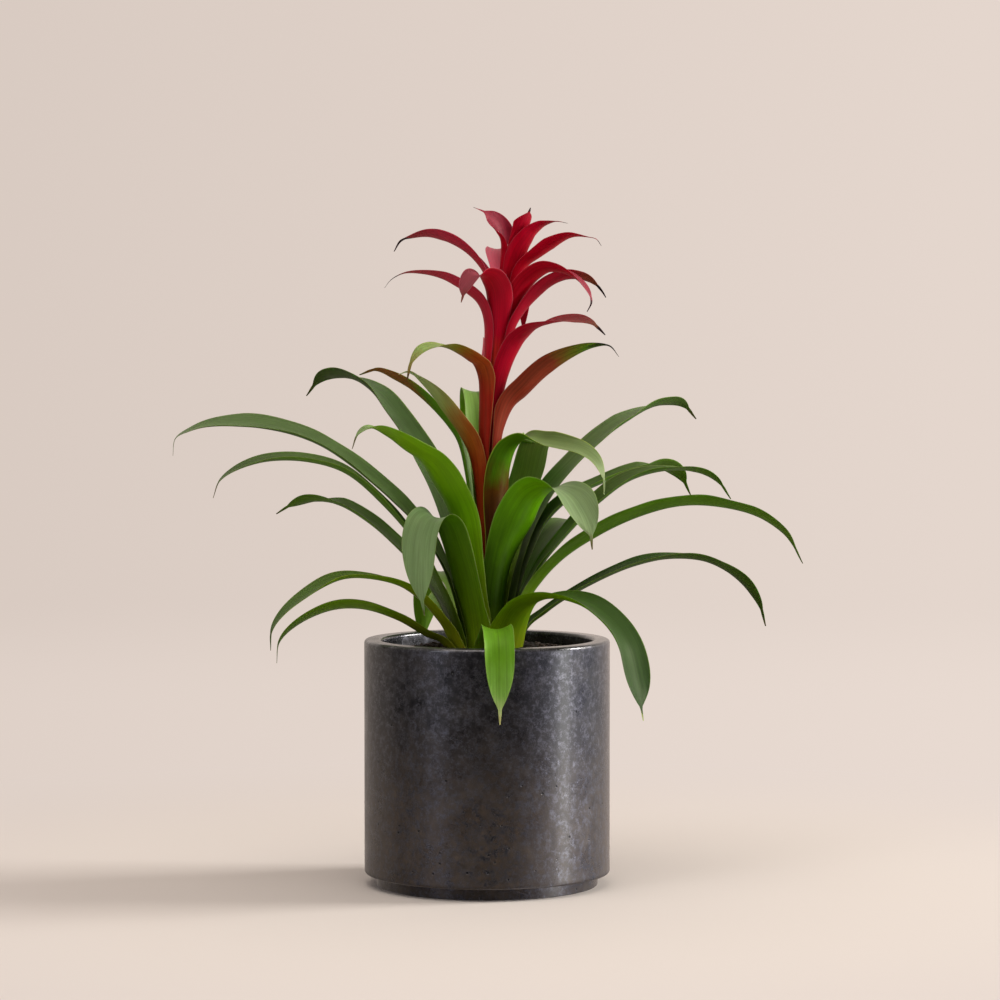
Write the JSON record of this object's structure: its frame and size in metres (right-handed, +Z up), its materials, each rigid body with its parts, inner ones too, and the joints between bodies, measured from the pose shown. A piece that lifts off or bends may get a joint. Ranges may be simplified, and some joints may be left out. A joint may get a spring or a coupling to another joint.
{
  "type": "potted bromeliad",
  "caption": "Guzmania plant with arching green strap leaves and a tall head of red bracts, standing in a round dark cast pot with a recessed foot.",
  "frame": {"origin": "on the ground, at the middle of the round underside of the pot", "axes": "+Z up along the pot, +X to the right and +Y to the back as seen from the front of the plant"},
  "size_m": [0.4711, 0.2337, 0.5064],
  "materials": {
    "pot": "satin, polished cast surface with fine pits",
    "potting_mix": "matte, crumbly",
    "stem": "matte",
    "leaf": "satin",
    "bract": "satin"
  },
  "bodies": {
    "root": {"pot": "pot", "potting_mix": "potting_mix", "stem": "stem", "leaf_01_inner_right": "leaf", "leaf_02_inner_left": "leaf", "leaf_03_back": "leaf", "leaf_04_back_right": "leaf", "leaf_05_front_left": "leaf", "leaf_06_front_right": "leaf", "leaf_07_front": "leaf", "leaf_08_upper_left": "leaf", "leaf_09_upper_right": "leaf", "leaf_10_right_back": "leaf", "leaf_11_left_long": "leaf", "leaf_12_right": "leaf", "leaf_13_back_left": "leaf", "leaf_14_right_long": "leaf", "leaf_15_left": "leaf", "leaf_16_back": "leaf", "leaf_17_left_middle": "leaf", "leaf_18_back_lowest": "leaf", "leaf_19_right_arch": "leaf", "leaf_20_left_low": "leaf", "leaf_21_front_low": "leaf", "leaf_22_left_lowest": "leaf", "leaf_23_front_rim": "leaf", "leaf_24_back_low": "leaf", "bract_01_left_lowest": "bract", "bract_02_right_lowest": "bract", "bract_03_left_twisted": "bract", "bract_04_back_low": "bract", "bract_05_right_twisted": "bract", "bract_06_left_thin": "bract", "bract_07_back_middle": "bract", "bract_08_front_folded": "bract", "bract_09_right_drooping": "bract", "bract_10_right": "bract", "bract_11_back_upper": "bract", "bract_12_left_upper": "bract", "bract_13_right_upper": "bract", "bract_14_top_right": "bract", "bract_15_top_left": "bract", "bract_16_top_upright": "bract"}
  },
  "joints": []
}
